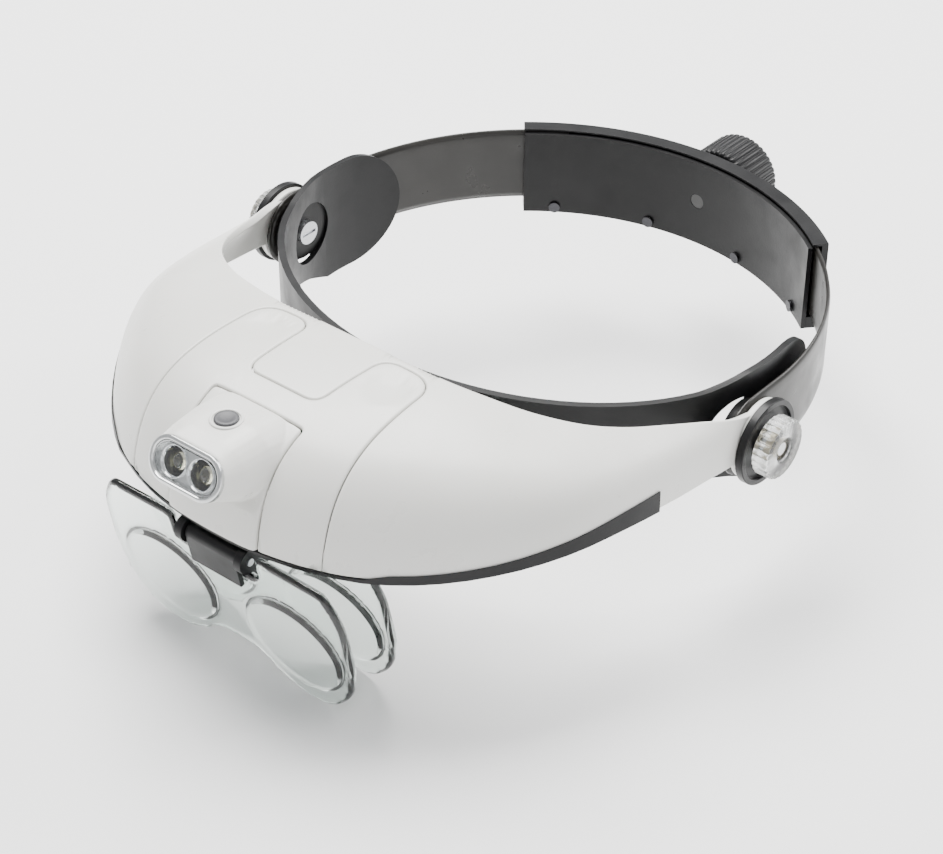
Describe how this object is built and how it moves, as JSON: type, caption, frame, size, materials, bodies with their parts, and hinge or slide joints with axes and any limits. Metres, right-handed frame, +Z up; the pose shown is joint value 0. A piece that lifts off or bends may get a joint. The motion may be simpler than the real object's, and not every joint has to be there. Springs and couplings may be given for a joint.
{
  "type": "head visor magnifier",
  "caption": "Headband with a ratchet size knob and a white tilting visor that carries a clip-on battery lamp and flip-up clear lens plates.",
  "frame": {"origin": "centre of the head opening, half-way up the straps", "axes": "+Z up, -Y to the wearer's front, +X to the wearer's left"},
  "size_m": [0.2066, 0.2713, 0.088],
  "materials": {
    "black_plastic": "satin",
    "strap_plastic": "satin",
    "foam": "matt foam",
    "bolt_steel": "bright",
    "screw_steel": "black zinc plated",
    "washer_plastic": "dark grey",
    "white_plastic": "semi-gloss",
    "inner_plastic": "matt",
    "clear_knob": "clear acrylic",
    "nut_metal": "turned, plated",
    "lens_acrylic": "clear acrylic, faint green-grey",
    "cell_wrap": "plain printed sleeve",
    "contact_brass": "plated spring sheet",
    "board": "solder mask",
    "button_plastic": "matt",
    "bezel_chrome": "satin chrome",
    "window_clear": "clear",
    "reflector_mirror": "vacuum plated",
    "led_epoxy": "clear epoxy over a yellow die"
  },
  "bodies": {
    "headband": {"forehead_band": "black_plastic", "forehead_pad": "foam", "strap_tab_left": "strap_plastic", "strap_tab_right": "strap_plastic", "pivot_bolt_left": "bolt_steel", "pivot_bolt_right": "bolt_steel", "friction_washer_left": "washer_plastic", "friction_washer_right": "washer_plastic"},
    "strap_l": {"strap_left": "strap_plastic"},
    "strap_r": {"strap_right": "strap_plastic"},
    "rear": {"rear_cover_outer": "black_plastic", "rear_cover_inner": "black_plastic", "rear_cover_screws": "screw_steel"},
    "size_knob": {"rear_knob": "black_plastic", "pinion": "washer_plastic", "rear_knob_screw": "screw_steel"},
    "visor": {"visor_shell": "white_plastic", "visor_edge_trim": "black_plastic", "ear_cap_left": "black_plastic", "ear_cap_right": "black_plastic", "lens_bracket": "black_plastic", "bracket_screws": "screw_steel", "front_hinge_pin": "bolt_steel", "rear_hinge_pin": "bolt_steel"},
    "clamp_knob_l": {"side_knob_left": "clear_knob", "knob_nut_left": "nut_metal"},
    "clamp_knob_r": {"side_knob_right": "clear_knob", "knob_nut_right": "nut_metal"},
    "front_lens": {"front_lens_clip": "black_plastic", "front_lens_plate": "lens_acrylic"},
    "rear_lens": {"rear_lens_clip": "black_plastic", "rear_lens_plate": "lens_acrylic"},
    "lamp_module": {"module_panel": "white_plastic", "lamp_hood": "white_plastic", "battery_tray": "inner_plastic", "battery_cells": "cell_wrap", "battery_contacts": "contact_brass", "circuit_board": "board", "switch_body": "black_plastic", "lamp_bezel": "bezel_chrome", "lamp_window": "window_clear", "lamp_reflectors": "reflector_mirror", "leds": "led_epoxy"},
    "door": {"battery_door": "inner_plastic"},
    "button": {"power_button": "button_plastic"}
  },
  "joints": [
    {"name": "size_slide", "type": "slide", "parent": "headband", "child": "rear", "axis": [0, 1, 0], "range_m": [-0.006, 0.012]},
    {"name": "size_knob_turn", "type": "hinge", "parent": "rear", "child": "size_knob", "pos_m": [0, 0.09, -0.0015], "axis": [0, -1, 0], "range_deg": [-60, 120]},
    {"name": "strap_flex_left", "type": "hinge", "parent": "headband", "child": "strap_l", "pos_m": [0.09075, -0.005, 0], "axis": [0, 0, -1], "range_deg": [-4, 8]},
    {"name": "strap_flex_right", "type": "hinge", "parent": "headband", "child": "strap_r", "pos_m": [-0.09075, -0.005, 0], "axis": [0, 0, 1], "range_deg": [-4, 8]},
    {"name": "visor_tilt", "type": "hinge", "parent": "headband", "child": "visor", "pos_m": [0, -0.0185, 0], "axis": [-1, 0, 0], "range_deg": [0, 45]},
    {"name": "clamp_left_turn", "type": "hinge", "parent": "headband", "child": "clamp_knob_l", "pos_m": [0.1, -0.0185, 0], "axis": [1, 0, 0], "range_deg": [-180, 180]},
    {"name": "clamp_right_turn", "type": "hinge", "parent": "headband", "child": "clamp_knob_r", "pos_m": [-0.1, -0.0185, 0], "axis": [-1, 0, 0], "range_deg": [-180, 180]},
    {"name": "front_lens_flip", "type": "hinge", "parent": "visor", "child": "front_lens", "pos_m": [0, -0.148, -0.0085], "axis": [-1, 0, 0], "range_deg": [0, 95]},
    {"name": "rear_lens_flip", "type": "hinge", "parent": "visor", "child": "rear_lens", "pos_m": [0, -0.131, -0.0085], "axis": [1, 0, 0], "range_deg": [0, 55]},
    {"name": "module_slide", "type": "slide", "parent": "visor", "child": "lamp_module", "axis": [0, -0.9848, 0.1736], "range_m": [0, 0.035]},
    {"name": "battery_door_slide", "type": "slide", "parent": "lamp_module", "child": "door", "axis": [0, 1, 0], "range_m": [0, 0.022]},
    {"name": "button_press", "type": "slide", "parent": "lamp_module", "child": "button", "axis": [0, 0, -1], "range_m": [0, 0.0012], "stiffness_N_per_m": 800, "springref_m": -0.0005}
  ],
  "couplings": [
    {"joint": "size_knob_turn", "follows": "size_slide", "rad_per_m": 172},
    {"joint": "strap_flex_left", "follows": "size_slide", "rad_per_m": 11.02},
    {"joint": "strap_flex_right", "follows": "size_slide", "rad_per_m": 11.02}
  ]
}
